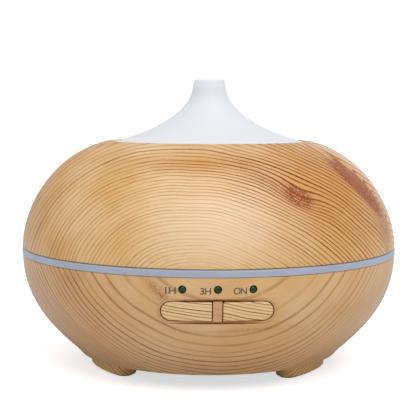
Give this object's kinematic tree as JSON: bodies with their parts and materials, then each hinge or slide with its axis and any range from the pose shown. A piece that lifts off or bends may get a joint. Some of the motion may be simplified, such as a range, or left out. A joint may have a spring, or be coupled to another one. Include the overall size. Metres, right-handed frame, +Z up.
{
  "type": "essential oil diffuser",
  "caption": "Round ultrasonic mist diffuser with a wood-look lift-off cover, a trumpet-shaped spout, a light strip, two keys on the front and arc-shaped feet.",
  "frame": {"origin": "centre of the surface the diffuser stands on, under the body's own axis", "axes": "+Z up along the body's axis; the control panel faces -Y; +X is on the right of someone who looks at the panel"},
  "size_m": [0.1684, 0.1684, 0.128],
  "materials": {
    "wood_film": "moulded plastic with a printed wood-grain film, semi-gloss",
    "white_spout": "translucent white, matte",
    "white_inner": "white food-grade plastic, satin",
    "light_strip": "diffusing plastic, blue grey, satin",
    "green_lens": "dark green tinted lens, glossy",
    "grey_base": "fine moulded texture",
    "rubber": "matte",
    "circuit_board": "solder mask",
    "black_plastic": "moulded",
    "aluminium": "drawn",
    "steel": "zinc plated",
    "brass": "plated",
    "copper": "enamelled copper winding on a ferrite drum",
    "white_led": "LED package with a yellow phosphor",
    "wire_red": "insulated copper lead",
    "wire_black": "insulated copper lead",
    "wire_white": "insulated copper lead"
  },
  "bodies": {
    "base": {"air_cap": "white_inner", "air_tower": "white_inner", "base_shell": "wood_film", "board_screw_1": "steel", "board_screw_2": "steel", "boost_inductor": "copper", "bottom_cover": "grey_base", "clamp_screw_1": "steel", "clamp_screw_2": "steel", "clamp_screw_3": "steel", "control_chip": "black_plastic", "cover_screw_1": "steel", "cover_screw_2": "steel", "cover_screw_3": "steel", "dc_jack": "black_plastic", "dc_jack_pin": "brass", "driver_heatsink": "aluminium", "driver_transistor": "black_plastic", "fan_frame": "black_plastic", "fan_lead": "wire_red", "foot_1": "wood_film", "foot_2": "wood_film", "foot_3": "wood_film", "foot_pad_1": "rubber", "foot_pad_2": "rubber", "foot_pad_3": "rubber", "led_1h": "green_lens", "led_3h": "green_lens", "led_holder": "black_plastic", "led_on": "green_lens", "light_board": "circuit_board", "light_ring": "light_strip", "light_switch": "black_plastic", "main_board": "circuit_board", "mist_switch": "black_plastic", "panel_board": "circuit_board", "panel_lead": "wire_white", "power_lead": "wire_red", "ring_lead": "wire_white", "ring_led_1": "white_led", "ring_led_2": "white_led", "ring_led_3": "white_led", "ring_led_4": "white_led", "ring_led_5": "white_led", "ring_led_6": "white_led", "smoothing_capacitor": "aluminium", "transducer_clamp": "steel", "transducer_disc": "steel", "transducer_lead": "wire_black", "transducer_seal": "rubber", "water_tank": "white_inner"},
    "cover": {"top_shell": "wood_film", "cover_liner": "white_inner", "spout_cone": "white_spout", "splash_guard": "white_inner"},
    "light_key": {"light_button": "wood_film"},
    "mist_key": {"mist_button": "wood_film"},
    "light_stem": {"light_plunger": "steel"},
    "mist_stem": {"mist_plunger": "steel"},
    "fan": {"fan_rotor": "black_plastic"}
  },
  "joints": [
    {"name": "cover_lift", "type": "slide", "parent": "base", "child": "cover", "axis": [0, 0, 1], "range_m": [0, 0.09]},
    {"name": "light_press", "type": "slide", "parent": "base", "child": "light_key", "axis": [0, 1, 0], "range_m": [0, 0.0005], "stiffness_N_per_m": 600},
    {"name": "mist_press", "type": "slide", "parent": "base", "child": "mist_key", "axis": [0, 1, 0], "range_m": [0, 0.0005], "stiffness_N_per_m": 600},
    {"name": "light_stem_press", "type": "slide", "parent": "base", "child": "light_stem", "axis": [0, 1, 0], "range_m": [0, 0.0005]},
    {"name": "mist_stem_press", "type": "slide", "parent": "base", "child": "mist_stem", "axis": [0, 1, 0], "range_m": [0, 0.0005]},
    {"name": "fan_spin", "type": "hinge", "parent": "base", "child": "fan", "pos_m": [0.034, -0.001, 0.016], "axis": [0, 0, 1], "continuous": true}
  ],
  "couplings": [
    {"joint": "light_stem_press", "follows": "light_press", "ratio": 1},
    {"joint": "mist_stem_press", "follows": "mist_press", "ratio": 1}
  ]
}
